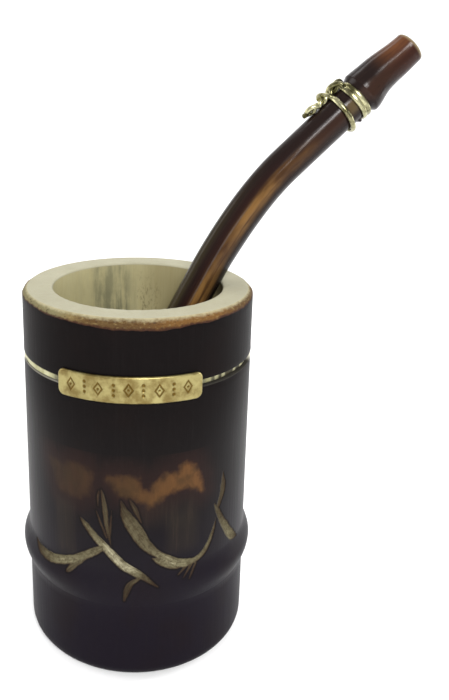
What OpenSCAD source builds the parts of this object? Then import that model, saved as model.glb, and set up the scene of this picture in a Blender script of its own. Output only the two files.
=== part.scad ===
// Mate cup cut from one internode of thick bamboo, with a brass band and small brass plate,
// and a bent cane drinking straw, bound with wire, that rests in the cup.
// The cup stands on the XY plane with its axis on Z, the plate faces -Y
// and the straw leans out over the rim towards +X.

/* [Cup] */
// Height of the cup
cup_h = 115.5; // [85:0.5:150]
// Outer diameter of the culm at the rim, before the chamfer
cup_d = 70; // [58:0.5:95]
// How much wider the culm is at the foot than at the rim
foot_flare = 0.8; // [0:0.1:3]
// Diameter of the hollow that holds the drink
bore_d = 51.7; // [36:0.1:62.5]
// Height of the drinking hollow's floor above the foot
floor_z = 35; // [20:0.5:45]
// Thickness of the culm's natural partition under the floor
floor_t = 6; // [3:0.5:12]
// Diameter of the open hollow under the partition
foot_bore_d = 51; // [30:0.5:58]
// Radius where the partition meets the walls
floor_round = 4; // [1:0.5:4]

/* [Rim and foot] */
// Width of the outer chamfer, across the rim
chamfer_w = 1.5; // [0.5:0.1:3]
// Height of the outer chamfer
chamfer_h = 2.9; // [1:0.1:6]
// Radius of the rim's inner edge
rim_round = 0.6; // [0.2:0.1:1.5]
// Radius of the outer edge of the foot
foot_round = 4.5; // [1:0.5:5]

/* [Node ridge] */
// Height of the ridge's crest above the foot
ridge_z = 32; // [24:0.5:60]
// How far the crest stands out from the culm
ridge_out = 2; // [0.5:0.1:4]
// Height over which the ridge rises from its lower crease
ridge_below = 6; // [2:0.5:12]
// Height over which the ridge fades out above its crest
ridge_above = 6.5; // [3:0.5:20]

/* [Band and plate] */
// Distance from the rim down to the groove
groove_drop = 18.9; // [10:0.1:40]
// Height of the groove
groove_w = 2; // [1.5:0.1:5]
// Depth of the groove
groove_depth = 2.45; // [1.2:0.05:2.8]
// Thickness of the band in the groove
band_t = 0.6; // [0.3:0.1:1]
// How far the band sits off centre, towards -X
band_shift = 0.6; // [0:0.1:1]
// Width of the plate, straight across
plate_w = 40; // [20:0.2:54]
// Height of the plate
plate_h = 7.9; // [4:0.1:14]
// Thickness of the plate
plate_t = 0.9; // [0.4:0.1:2]
// Radius of the plate's corners
plate_corner = 2; // [0.5:0.1:2.5]
// Turn of the plate's middle away from -Y, negative towards -X
plate_turn = -4; // [-30:0.5:30]

/* [Straw] */
// Outer diameter of the cane
straw_d = 10.8; // [8:0.1:14]
// Diameter of the hole along the cane
straw_bore = 4.4; // [2:0.1:5.5]
// Direction in which the straw leans, turned from +X towards +Y
straw_turn = 8.7; // [-40:0.1:60]
// Straight length of cane past the height of the rim
straw_past_rim = 2.8; // [0:0.1:20]
// Radius of the cane's first, slow bend
bend_1_r = 166; // [60:1:400]
// Angle of the first bend
bend_1_angle = 9.6; // [2:0.1:20]
// Radius of the cane's second, tighter bend
bend_2_r = 82; // [40:1:300]
// Angle of the second bend
bend_2_angle = 9.5; // [2:0.1:25]
// Length of the straight mouth end
mouth_len = 50.3; // [44:0.1:90]
// Outer diameter of the mouth end at its tip
tip_d = 9.8; // [7.5:0.1:12]
// Distance from the tip back to the crest of the cane's joint
joint_drop = 19.7; // [12:0.1:23]
// How far the joint stands out from the cane
joint_out = 1.35; // [0.4:0.05:2.5]
// Length over which the joint rises from the cane below
joint_below = 2; // [1:0.1:4]
// Length over which the joint fades into the mouth end
joint_above = 8; // [3:0.5:11]

/* [Wire] */
// Diameter of the binding wire
wire_d = 1.25; // [0.6:0.05:2]
// Bare cane between the joint's foot and the double loop
loop_gap = 0.15; // [0.1:0.05:3]
// Distance between the middles of the double and the single loop
loop_spacing = 5.3; // [3:0.1:9]
// Tilt of the single loop across the cane
loop_1_tilt = 4; // [0:0.5:6]
// Length of the twisted tail, from the middle of the double loop on
tail_len = 15.9; // [8:0.1:18]
// Distance from the middle of the double loop to the loose strand
strand_start = 7.2; // [2:0.1:10]
// Length of the loose strand that lies on the tail
strand_len = 5; // [2:0.1:8]

/* [Fit] */
// Clearance where one piece rests on another
seat_gap = 0.15; // [0.05:0.05:0.4]

/* [Hidden] */
$fn = 96;
arc_steps = 6;
eps = 0.01;

// Cup
bore_r = bore_d / 2;
rim_r = cup_d / 2;
groove_top_z = cup_h - groove_drop;
groove_z = groove_top_z - groove_w;
groove_r = rim_r - groove_depth;
crease_z = ridge_z - ridge_below;

// Radius of the culm at a height, without its ridge
function culm_r(z) = rim_r + foot_flare / 2 * (1 - z / cup_h);

// How far the ridge stands out, from 0 at its crease to 1 at its crest and 0 where it fades out
function ridge_share(z) =
    z < ridge_z ? sin(90 * (z - crease_z) / ridge_below)
                : (1 + cos(180 * (z - ridge_z) / ridge_above)) / 2;

// Points on an arc about a centre, from one angle to another
function arc(centre, r, from, to) =
    [for (i = [0 : arc_steps])
        let (a = from + (to - from) * i / arc_steps)
        centre + r * [cos(a), sin(a)]];

foot_r = culm_r(foot_round);
foot_edge = arc([foot_r - foot_round, foot_round], foot_round, -90, 0);
ridge_steps = 2 * arc_steps;
ridge_edge =
    [for (i = [0 : ridge_steps])
        let (z = crease_z + (ridge_below + ridge_above) * i / ridge_steps)
        [culm_r(z) + ridge_out * ridge_share(z), z]];
groove_edge = [
    [culm_r(groove_z), groove_z], [groove_r, groove_z],
    [groove_r, groove_top_z], [culm_r(groove_top_z), groove_top_z],
];
chamfer_z = cup_h - chamfer_h;
chamfer_edge = [[culm_r(chamfer_z), chamfer_z], [rim_r - chamfer_w, cup_h]];
rim_edge = arc([bore_r + rim_round, cup_h - rim_round], rim_round, 90, 180);
floor_edge = arc([bore_r - floor_round, floor_z + floor_round], floor_round, 0, -90);
partition_z = floor_z - floor_t;
foot_bore_r = foot_bore_d / 2;
partition_edge = arc([foot_bore_r - floor_round, partition_z - floor_round], floor_round, 90, 0);

module cup() {
    color("#2a2526") rotate_extrude() polygon(concat(
        foot_edge, ridge_edge, groove_edge, chamfer_edge, rim_edge, floor_edge,
        [[0, floor_z], [0, partition_z]], partition_edge, [[foot_bore_r, 0]]));
}

// Band: a flat ring that lies in the groove and touches its bottom at +X
band_r = groove_r + band_shift + seat_gap;
band_h = groove_w - 2 * seat_gap;

module band() {
    color("#c8b878")
        translate([-band_shift, 0, groove_z + seat_gap]) rotate_extrude()
            translate([band_r, 0]) square([band_t, band_h]);
}

// Plate: a bent strip with round corners that lies on the culm, over the band
plate_z = groove_z + groove_w / 2;
plate_r = culm_r(plate_z - plate_h / 2) + seat_gap;

module rounded_rect(w, h, r) {
    square([w - 2 * r, h], center = true);
    square([w, h - 2 * r], center = true);
    for (x = [-1, 1], y = [-1, 1])
        translate([x * (w / 2 - r), y * (h / 2 - r)]) circle(r);
}

module plate() {
    color("#d6c27a") rotate([0, 0, plate_turn]) intersection() {
        translate([0, 0, plate_z - plate_h / 2]) rotate_extrude()
            translate([plate_r, 0]) square([plate_t, plate_h]);
        translate([0, 0, plate_z]) rotate([90, 0, 0])
            linear_extrude(plate_r + plate_t + 1) rounded_rect(plate_w, plate_h, plate_corner);
    }
}

// Straw: it stands in the floor's corner at -X and leans on the rim's inner edge at +X.
// Its centreline lies in one upright plane, with u outwards and z up.
straw_r = straw_d / 2;
hole_r = straw_bore / 2;

// Distance of the rim's edge from a straw that leans at this angle, less what it should be
function lean_error(a) =
    (bore_d + rim_round - seat_gap - straw_r * sin(a)) * sin(a)
    - (cup_h - rim_round - floor_z - seat_gap - straw_r * cos(a)) * cos(a)
    - straw_r - seat_gap - rim_round;
function solve_lean(low, high, steps) =
    let (middle = (low + high) / 2)
    steps == 0 ? middle
    : lean_error(middle) < 0 ? solve_lean(middle, high, steps - 1)
    : solve_lean(low, middle, steps - 1);
lean = solve_lean(30, 89, 30);

// Each stretch starts at [u, z] with a heading above the horizontal
function ahead(heading) = [cos(heading), sin(heading)];
function turned(at, r, heading, angle) =
    at + r * [sin(heading) - sin(heading - angle), cos(heading - angle) - cos(heading)];
foot_at = [-bore_r + seat_gap + straw_r * sin(lean), floor_z + seat_gap + straw_r * cos(lean)];
stem_len = (cup_h - foot_at[1]) / sin(lean) + straw_past_rim;
bend_1_at = foot_at + stem_len * ahead(lean);
bend_1_len = bend_1_r * bend_1_angle * PI / 180;
heading_1 = lean - bend_1_angle;
bend_2_at = turned(bend_1_at, bend_1_r, lean, bend_1_angle);
bend_2_len = bend_2_r * bend_2_angle * PI / 180;
heading_2 = heading_1 - bend_2_angle;
mouth_at = turned(bend_2_at, bend_2_r, heading_1, bend_2_angle);
mouth_start = stem_len + bend_1_len + bend_2_len;

// Point and heading of the centreline at a length along it
function path(s) =
    let (in_1 = s - stem_len, in_2 = in_1 - bend_1_len, in_mouth = in_2 - bend_2_len)
    in_1 <= 0 ? [foot_at + s * ahead(lean), lean]
    : in_2 <= 0 ? let (a = bend_1_angle * in_1 / bend_1_len)
        [turned(bend_1_at, bend_1_r, lean, a), lean - a]
    : in_mouth <= 0 ? let (a = bend_2_angle * in_2 / bend_2_len)
        [turned(bend_2_at, bend_2_r, heading_1, a), heading_1 - a]
    : [mouth_at + in_mouth * ahead(heading_2), heading_2];

// Stations of the cane's skin: length along the centreline and outer radius
joint_s = mouth_start + mouth_len - joint_drop;
tip_s = mouth_start + mouth_len;
tip_r = tip_d / 2;
tip_bevel = 0.5;
stem_steps = 4;
bend_steps = 8;
stem_stations = [for (i = [0 : stem_steps]) [stem_len * i / stem_steps, straw_r]];
bend_stations =
    [for (i = [1 : bend_steps]) [stem_len + (bend_1_len + bend_2_len) * i / bend_steps, straw_r]];
joint_stations =
    [for (i = [0 : arc_steps])
        [joint_s - joint_below * (1 - i / arc_steps), straw_r + joint_out * sin(90 * i / arc_steps)]];
fade_stations =
    [for (i = [1 : arc_steps])
        [joint_s + joint_above * i / arc_steps,
            straw_r + joint_out * (1 + cos(180 * i / arc_steps)) / 2]];
tip_stations = [[tip_s - tip_bevel, tip_r], [tip_s, tip_r - tip_bevel]];
stations = concat(stem_stations, bend_stations, joint_stations, fade_stations, tip_stations);

// Ring of points round the centreline at a length along it
straw_sides = 24;
function ring(s, r) =
    let (here = path(s), at = here[0], heading = here[1])
    [for (j = [0 : straw_sides - 1])
        let (a = 360 * j / straw_sides, up = r * cos(a))
        [at[0] - up * sin(heading), r * sin(a), at[1] + up * cos(heading)]];

module straw() {
    n = straw_sides;
    skin = len(stations) * n;
    last = len(stations) - 1;
    points = concat(
        [for (station = stations) each ring(station[0], station[1])],
        [for (station = stations) each ring(station[0], hole_r)]);
    walls = [for (i = [0 : last - 1], j = [0 : n - 1])
        let (a = i * n + j, b = i * n + (j + 1) % n)
        each [[b, b + n, a + n, a], [skin + a, skin + a + n, skin + b + n, skin + b]]];
    ends = [for (j = [0 : n - 1])
        let (a = j, b = (j + 1) % n, c = last * n + a, d = last * n + b)
        each [[b, a, skin + a, skin + b], [c, d, skin + d, skin + c]]];
    color("#4a3226") rotate([0, 0, straw_turn])
        polyhedron(points = points, faces = concat(walls, ends));
}

// Puts its children, which run along Z, where the mouth end starts and points
module on_mouth() {
    rotate([0, 0, straw_turn]) translate([mouth_at[0], 0, mouth_at[1]])
        rotate([0, 90 - heading_2, 0]) children();
}

// Wire: loops round the cane below its joint, with the ends laid back along its upper side
loop_r = straw_r + seat_gap + wire_d / 2;
loop_2_drop = joint_drop + joint_below + loop_gap + wire_d;
loop_1_drop = loop_2_drop + loop_spacing;
tail_side = straw_r + seat_gap + wire_d;
// The loose strand lies on the twisted pair, a little sunk between its turns
strand_sink = 0.1 * wire_d;
strand_side = tail_side + 1.5 * wire_d - strand_sink;

module wire_loop(drop, tilt) {
    translate([0, 0, mouth_len - drop]) rotate([0, tilt, 0]) rotate_extrude()
        translate([loop_r, 0]) circle(d = wire_d, $fn = 32);
}

// A straight run of round section above the cane, from one distance back from the tip
module run_back(drop, side, d, len) {
    translate([-side, 0, mouth_len - drop - len]) cylinder(d = d, h = len, $fn = 32);
}

module wire() {
    color("#cdbb72") on_mouth() {
        wire_loop(loop_2_drop - wire_d / 2 + eps, 0);
        wire_loop(loop_2_drop + wire_d / 2 - eps, 0);
        wire_loop(loop_1_drop, loop_1_tilt);
        run_back(loop_2_drop, tail_side, 2 * wire_d, tail_len);
        run_back(loop_2_drop + strand_start, strand_side, wire_d, strand_len);
    }
}

cup();
band();
plate();
straw();
wire();
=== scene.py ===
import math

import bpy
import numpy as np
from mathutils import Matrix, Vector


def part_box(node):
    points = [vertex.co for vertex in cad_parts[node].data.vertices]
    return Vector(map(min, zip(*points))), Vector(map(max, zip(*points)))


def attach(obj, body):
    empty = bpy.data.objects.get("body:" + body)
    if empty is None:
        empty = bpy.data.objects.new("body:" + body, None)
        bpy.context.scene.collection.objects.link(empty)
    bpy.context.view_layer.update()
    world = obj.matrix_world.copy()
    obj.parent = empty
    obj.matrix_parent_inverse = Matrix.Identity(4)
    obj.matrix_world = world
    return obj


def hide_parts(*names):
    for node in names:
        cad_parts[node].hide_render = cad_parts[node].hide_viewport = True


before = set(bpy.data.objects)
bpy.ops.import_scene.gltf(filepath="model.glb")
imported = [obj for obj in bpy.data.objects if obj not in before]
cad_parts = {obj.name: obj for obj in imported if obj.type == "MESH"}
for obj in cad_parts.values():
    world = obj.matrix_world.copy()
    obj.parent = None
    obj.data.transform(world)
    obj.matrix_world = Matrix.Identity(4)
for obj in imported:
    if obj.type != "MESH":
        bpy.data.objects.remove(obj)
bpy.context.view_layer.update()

# Mate cup of scorched bamboo with a brass band and plate, and a bent cane straw bound with brass wire.
#
# Lengths in the modelling functions are millimetres in the part's own frame, and metres from make_piece on.
# "Azimuth" is the angle round the cup in degrees: 0 faces -Y, 90 faces +X.

MM = 0.001

# ---- sizes, from the frame
band_low, band_high = (np.array(c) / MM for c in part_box("band"))
plate_low, plate_high = (np.array(c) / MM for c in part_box("plate"))

CUP_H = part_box("cup")[1][2] / MM
RIM_R = 35.0
FOOT_FLARE = 0.4
BORE_R = 25.85
FLOOR_Z = 35.0
FLOOR_T = 6.0
FLOOR_ROUND = 4.0
FOOT_BORE_R = 25.5
CHAMFER_W = 1.5
RIM_ROUND = 0.6
FOOT_ROUND = 4.5
RIDGE_Z = 32.0
RIDGE_OUT = 2.0
RIDGE_BELOW = 6.0
RIDGE_ABOVE = 6.5
# The share worn off the ridge at the front, and how far round that goes.
RIDGE_WORN, RIDGE_WORN_HALF = 0.75, 36
GROOVE_TOP = CUP_H - 18.9
GROOVE_LOW = GROOVE_TOP - 2.0
GROOVE_R = RIM_R - 2.45
GROOVE_EASE, GROOVE_LIP = 0.3, 0.25
CHAMFER_H, CHAMFER_FRONT = 1.5, 1.6
CENTRE_R = 1.5
# The front of the wall that carries the marks: its heights, and its half width in azimuth.
MARKS_LOW, MARKS_TOP, MARKS_HALF = 26.0, 76.0, 72

STRAW_R = 5.4
STRAW_HOLE = 2.2
STRAW_TURN = 8.7
SEAT_GAP = 0.15
PAST_RIM = 2.8
BEND_1_R, BEND_1_ANGLE = 166.0, 9.6
BEND_2_R, BEND_2_ANGLE = 82.0, 9.5
MOUTH_LEN = 50.3
TIP_R = 4.9
TIP_EDGE = 0.9
JOINT_DROP = 19.7
JOINT_OUT = 1.35
JOINT_BELOW = 2.0
JOINT_ABOVE = 8.0
SHOULDER_OUT = 0.95
SCAR_OUT = 0.95
GROOVE_DEPTH = 0.75
WIRE_D = 1.25
LOOP_2_DROP = JOINT_DROP + JOINT_BELOW + 0.15 + WIRE_D
LOOP_1_DROP = LOOP_2_DROP + 5.3


# ---- mesh helpers
def make_piece(name, verts, faces, materials, face_material, smooth_angle):
    """A mesh object from millimetre points, smooth but for edges sharper than smooth_angle."""
    mesh = bpy.data.meshes.new(name)
    mesh.from_pydata((np.asarray(verts) * MM).tolist(), [], [list(f) for f in faces])
    mesh.validate()
    for m in materials:
        mesh.materials.append(m)
    if face_material is not None:
        mesh.polygons.foreach_set("material_index", np.asarray(face_material, dtype=np.int32))
    mesh.polygons.foreach_set("use_smooth", np.ones(len(mesh.polygons), dtype=bool))
    mesh.set_sharp_from_angle(angle=math.radians(smooth_angle))
    mesh.update()
    obj = bpy.data.objects.new(name, mesh)
    bpy.context.collection.objects.link(obj)
    return obj


def set_attribute(obj, name, values):
    """Stores one number, or one vector, per vertex for the materials to read."""
    values = np.asarray(values, dtype=np.float32)
    kind, field = ("FLOAT", "value") if values.ndim == 1 else ("FLOAT_VECTOR", "vector")
    obj.data.attributes.new(name, kind, "POINT").data.foreach_set(field, values.ravel())


def grid_faces(rows, cols, wrap=True):
    """Quads between rows of cols points each; wrap joins the last column to the first."""
    i = np.arange(rows - 1)[:, None] * cols
    j = np.arange(cols if wrap else cols - 1)[None, :]
    k = (j + 1) % cols
    return np.stack([i + j, i + k, i + cols + k, i + cols + j], axis=-1).reshape(-1, 4)


def loop_faces(rows, cols):
    """Quads between rows that are joined both round each row and from the last row to the first."""
    last = (rows - 1) * cols
    around_row = [(j, (j + 1) % cols) for j in range(cols)]
    return grid_faces(rows, cols).tolist() + [[last + j, last + k, k, j] for j, k in around_row]


def smooth_noise(x, y, scale, seed):
    """Soft value noise of two coordinates, from -1 to 1."""
    table = np.random.default_rng(seed).uniform(-1, 1, (64, 64))
    u, v = np.asarray(x) / scale, np.asarray(y) / scale
    iu, iv = np.floor(u).astype(int), np.floor(v).astype(int)
    fu, fv = u - iu, v - iv
    fu, fv = fu * fu * (3 - 2 * fu), fv * fv * (3 - 2 * fv)
    corners = [[table[(iu + a) % 64, (iv + b) % 64] for a in (0, 1)] for b in (0, 1)]
    low, high = (left * (1 - fu) + right * fu for left, right in corners)
    return low * (1 - fv) + high * fv


def ease(low, high, x):
    """0 at low, 1 at high, with a smooth start and end."""
    t = np.clip((np.asarray(x, dtype=float) - low) / (high - low), 0, 1)
    return t * t * (3 - 2 * t)


def window(rise_from, rise_to, fall_from, fall_to, x):
    """1 between rise_to and fall_from, and 0 outside the two others."""
    return ease(rise_from, rise_to, x) * ease(fall_to, fall_from, x)


def spline(points, per_span=14):
    """Catmull-Rom curve through points of any number of columns."""
    p = np.asarray(points, dtype=float)
    p = np.vstack([2 * p[0] - p[1], p, 2 * p[-1] - p[-2]])
    t = np.linspace(0, 1, per_span, endpoint=False)[:, None]
    out = []
    for a, b, c, d in zip(p, p[1:], p[2:], p[3:]):
        out.append(0.5 * (2 * b + (c - a) * t + (2 * a - 5 * b + 4 * c - d) * t**2
                          + (3 * b - a - 3 * c + d) * t**3))
    return np.vstack([*out, p[-2]])


def tube(path, radius, sides):
    """Points and faces of a round tube along a path, with closed ends."""
    n = len(path)
    tangent = np.gradient(path, axis=0)
    tangent /= np.linalg.norm(tangent, axis=1)[:, None]
    side = np.cross(tangent[0], [0.3, 0.9, 0.2])
    frames = []
    for t in tangent:
        side = side - t * np.dot(side, t)
        side /= np.linalg.norm(side)
        frames.append((side.copy(), np.cross(t, side)))
    a = np.linspace(0, 2 * np.pi, sides, endpoint=False)[:, None]
    verts = [at + radius * (np.cos(a) * s + np.sin(a) * b) for at, (s, b) in zip(path, frames)]
    verts = np.vstack([*verts, path[:1], path[-1:]])
    faces = [tuple(f) for f in grid_faces(n, sides)]
    first, last = n * sides, n * sides + 1
    for j in range(sides):
        k = (j + 1) % sides
        faces += [(first, k, j), (last, (n - 1) * sides + j, (n - 1) * sides + k)]
    return verts, faces


def join_parts(parts):
    """One list of points and faces from several."""
    verts, faces, start = [], [], 0
    for v, f in parts:
        verts.append(v)
        faces += [tuple(i + start for i in face) for face in f]
        start += len(v)
    return np.vstack(verts), faces


# ---- material helpers
class Shader:
    """A small writer of node materials around one Principled shader."""

    def __init__(self, name):
        self.material = bpy.data.materials.new(name)
        self.material.use_nodes = True
        self.nodes = self.material.node_tree.nodes
        self.links = self.material.node_tree.links
        self.bsdf = self.nodes["Principled BSDF"]

    def node(self, kind, inputs=None, **settings):
        """A new node: settings are its own properties, inputs go to its sockets by name or number."""
        n = self.nodes.new(kind)
        for key, value in settings.items():
            setattr(n, key, value)
        for key, value in (inputs or {}).items():
            self.put(n.inputs[key], value)
        return n

    def put(self, socket, value):
        """A link if value is a socket, else the socket's own number or colour."""
        if isinstance(value, bpy.types.NodeSocket):
            self.links.new(value, socket)
        elif socket.type == "RGBA":
            socket.default_value = (*value, 1)
        else:
            socket.default_value = value

    def set(self, **values):
        for key, value in values.items():
            self.put(self.bsdf.inputs[key.replace("_", " ")], value)

    def attribute(self, name, output="Fac"):
        return self.node("ShaderNodeAttribute", attribute_name=name).outputs[output]

    def place(self, stretch=(1, 1, 1), source=None):
        """Coordinates in millimetres, each axis multiplied by stretch."""
        if source is None:
            source = self.node("ShaderNodeTexCoord").outputs["Object"]
            stretch = tuple(s / MM for s in stretch)
        return self.node("ShaderNodeMapping", {"Vector": source, "Scale": stretch}).outputs["Vector"]

    def axis(self, where, letter):
        return self.node("ShaderNodeSeparateXYZ", {0: where}).outputs[letter]

    def noise(self, where, scale, detail=3.0, rough=0.5, warp=0.0):
        inputs = {"Vector": where, "Scale": scale, "Detail": detail, "Roughness": rough, "Distortion": warp}
        return self.node("ShaderNodeTexNoise", inputs).outputs["Fac"]

    def grain(self, stretch, detail=3.0, rough=0.5, warp=0.0, source=None):
        """Noise drawn out along the axes whose stretch is small."""
        return self.noise(self.place(stretch, source), 1.0, detail, rough, warp)

    def cells(self, where, scale):
        return self.node("ShaderNodeTexVoronoi", {"Vector": where, "Scale": scale}).outputs["Distance"]

    def math(self, op, a, b):
        return self.node("ShaderNodeMath", {0: a, 1: b}, operation=op).outputs[0]

    def add(self, a, b):
        return self.math("ADD", a, b)

    def mul(self, a, b):
        return self.math("MULTIPLY", a, b)

    def line(self, value, slope, start):
        return self.add(self.mul(value, slope), start)

    def between(self, value, low, high):
        """0 at low, 1 at high, limited to that range."""
        inputs = {"Value": value, "From Min": low, "From Max": high}
        return self.node("ShaderNodeMapRange", inputs, interpolation_type="SMOOTHSTEP").outputs["Result"]

    def mix(self, amount, a, b, kind="RGBA"):
        inputs = {"Factor": amount, "A": a, "B": b}
        return self.node("ShaderNodeMix", inputs, data_type=kind).outputs["Result"]

    def tint(self, colour, other, mask, share):
        """Colour with up to that share of other where mask is 1."""
        return self.mix(self.mul(mask, share), colour, other)

    def ramp(self, value, *stops):
        """Colours at places along 0 to 1: each stop is (place, colour)."""
        n = self.node("ShaderNodeValToRGB", {"Fac": value})
        while len(n.color_ramp.elements) < len(stops):
            n.color_ramp.elements.new(0.5)
        for element, (place, colour) in zip(n.color_ramp.elements, stops):
            element.position = place
            element.color = (*colour, 1)
        return n.outputs["Color"]

    def done(self, colour, rough, shine, relief, relief_mm, strength):
        """The finished material, with relief as its bump."""
        inputs = {"Distance": relief_mm * MM, "Strength": strength, "Height": relief}
        normal = self.node("ShaderNodeBump", inputs).outputs["Normal"]
        self.set(Base_Color=colour, Roughness=rough, Specular_IOR_Level=shine, Normal=normal)
        return self.material


def rgb(*channels):
    """Linear colour from 0 to 255 display values."""
    return tuple(c / 12.92 / 255 if c / 255 <= 0.04045 else ((c / 255 + 0.055) / 1.055) ** 2.4
                 for c in channels)


# ---- carved and scorched marks on the front
# Each gouge is (points, depth share); a point is (azimuth, height, width, paleness).
GOUGES = [
    ([(-62, 37.5, .3, .05), (-58, 36.5, 1.1, .22), (-54, 36, 1.7, .42), (-47, 36, 1.9, .62),
      (-40, 37, 2, .8), (-32, 39, 2, .78), (-26, 41.5, 1.9, .7), (-21, 43.5, 1.8, .66),
      (-16.5, 45.5, 1.2, .6)], 1),
    ([(-25, 41, .9, .6), (-31, 37.5, 1.2, .5), (-34, 35.5, 1.2, .4), (-35.5, 34.5, .3, .2)], .7),
    ([(-28, 54, .2, .3), (-25, 52, 1.3, .5), (-19, 48, 1.8, .72), (-14, 45, 2, .95), (-7, 40.5, 2.1, 1),
      (-2, 38.5, 2, .95), (3, 36.5, 1.4, .5), (6, 35, .9, .28), (10, 33, .3, .1)], 1),
    ([(1, 36, .7, .4), (-2.5, 34.5, 1.1, .3), (-4.5, 32.5, 1.3, .2), (-6, 28.5, .5, .05)], .6),
    ([(-17, 64.5, .2, .2), (-16, 62, .8, .3), (-15, 57.5, 1.1, .4), (-14.5, 53.5, 1, .34),
      (-12, 45.5, .2, .2)], .7),
    ([(-18, 64, .2, .15), (-18.5, 62, .5, .25), (-18.5, 59, .2, .15)], .5),
    ([(-19.5, 57.5, .2, .1), (-17.5, 54, .5, .25), (-14.5, 49, .4, .2)], .6),
    ([(-12, 58, .2, .1), (-12.5, 53, .5, .24), (-13, 48.5, .3, .2)], .6),
    ([(-7.5, 61.5, .3, .05), (-6.3, 59, 1.2, .22), (-4.8, 56.5, 2.2, .38), (-2.5, 54, 2.8, .52),
      (0, 51.5, 3, .56), (3, 48.2, 2.6, .6), (6.5, 45.6, 2.1, .6), (10, 43.8, 1.7, .72), (16, 41, 2.2, .84),
      (21, 39.5, 2.1, .84), (25.5, 39, 1.8, .78), (30, 39.2, 1.4, .7), (35, 41, 1.3, .6),
      (38, 43.7, 1.1, .55), (40.5, 47, .7, .45), (42.2, 50.5, .2, .2)], 1),
    ([(7.5, 42.5, .4, .4), (11.5, 41, 1.5, .7), (16, 39.4, 1.6, .76), (20, 38, .5, .5)], .8),
    ([(-3.5, 62, .3, .05), (-1, 59, .9, .2), (2, 54.5, .3, .05)], .5),
    ([(24.5, 38, .7, .36), (20, 35.8, .3, .1)], .4),
    ([(27, 37.8, .7, .36), (22.5, 34.6, .3, .1)], .4),
    ([(29.5, 37.8, .6, .34), (25.5, 34, .4, .1)], .4),
    ([(46, 65, .2, .05), (46.5, 61, 1.5, .28), (46, 58, 1.5, .32), (44, 55, 1.1, .34),
      (42, 52.8, .6, .3)], .7),
    ([(40.6, 55.5, .3, .3), (43, 52.5, 1.2, .42), (46, 49, 1.6, .48), (49.5, 45.6, 2, .6),
      (53, 42.5, 2.2, .7), (57, 39.8, 2.1, .74), (62, 38, .5, .4)], 1),
]
GOUGE_HALF = 0.74
# Outlines of the patches that the flame left brown: (azimuth, height).
MIDDLE_PATCH = [(-15, 68.5), (-9, 69.5), (0, 69), (1.5, 66.5), (3.5, 65), (6, 65), (7, 67.5), (11, 68.5),
                (14, 70), (19, 70), (21, 72), (27, 71.5), (31, 68), (33, 64), (32, 61.5), (26, 63.5),
                (15, 63), (10, 61), (6, 59.5), (3, 60), (-2, 62), (-9, 63.5), (-12, 66)]
LEFT_PATCH = [(-46, 70.5), (-38, 70), (-31, 71.5), (-25, 71), (-21.5, 69), (-21.5, 65), (-25, 61),
              (-37, 60), (-42, 62), (-45, 66)]


def around(azimuth):
    """Arc length round the culm."""
    return np.radians(azimuth) * RIM_R


def gouged(azimuth, height):
    """How far inside a gouge each point lies, its depth and paleness, and its place along and across it."""
    u, v = around(azimuth), np.asarray(height, dtype=float)
    ragged = 0.1 * smooth_noise(u, v, 0.7, 3) + 0.08 * smooth_noise(u, v, 2.2, 4) - 0.04
    inside = np.full(u.shape, -4.0)
    depth, pale, along, across = (np.zeros(u.shape) for _ in range(4))
    for number, (points, share) in enumerate(GOUGES):
        line = spline([(around(a), h, w * GOUGE_HALF, tone) for a, h, w, tone in points])
        run = np.concatenate([[0], np.cumsum(np.hypot(*np.diff(line[:, :2], axis=0).T))]) + 40 * number
        slope = np.gradient(line[:, :2], axis=0)
        slope /= np.linalg.norm(slope, axis=1)[:, None]
        low, high = line[:, :2].min(0) - 4, line[:, :2].max(0) + 4
        near = np.flatnonzero((u > low[0]) & (u < high[0]) & (v > low[1]) & (v < high[1]))
        du, dv = u[near, None] - line[:, 0], v[near, None] - line[:, 1]
        away = np.hypot(du, dv)
        best = np.argmax(line[:, 2] - away, axis=1)
        pick = np.arange(len(near)), best
        half, off = line[best, 2], away[pick]
        here = half - off + ragged[near] * np.minimum(1, half)
        cut = np.clip(here / np.maximum(half, .1), 0, 1)
        this_depth = (0.12 + 0.52 * half) * share * (1 - (1 - cut) ** 2)
        deeper = this_depth > depth[near]
        closer = here > inside[near]
        inside[near] = np.maximum(inside[near], here)
        depth[near] = np.maximum(depth[near], this_depth)
        chosen = deeper | (closer & (depth[near] <= 0))
        to = near[chosen]
        pale[to] = line[best, 3][chosen]
        along[to] = run[best][chosen]
        side = du[pick] * -slope[best, 1] + dv[pick] * slope[best, 0]
        across[to] = side[chosen]
    return inside, depth, pale, along, across


def signed_distance(azimuth, height, outline):
    """Distance inside a closed outline, negative outside."""
    u, v = around(azimuth), np.asarray(height, dtype=float)
    ring = spline([(around(a), h) for a, h in [*outline, *outline[:3]]], 5)[5:-6]
    away = np.full(u.shape, 1e9)
    inside = np.zeros(u.shape, dtype=bool)
    for (ax, ay), (bx, by) in zip(ring, np.roll(ring, -1, axis=0)):
        ex, ey = bx - ax, by - ay
        t = np.clip(((u - ax) * ex + (v - ay) * ey) / (ex * ex + ey * ey + 1e-12), 0, 1)
        away = np.minimum(away, np.hypot(u - ax - t * ex, v - ay - t * ey))
        crosses = (ay > v) != (by > v)
        inside ^= crosses & (u < ax + ex * (v - ay) / (ey if abs(ey) > 1e-12 else 1e-12))
    return np.where(inside, away, -away)


# ---- cup
def culm_r(z):
    """Radius of the plain culm, which widens a little towards its foot."""
    return RIM_R + FOOT_FLARE * (1 - z / CUP_H)


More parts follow.
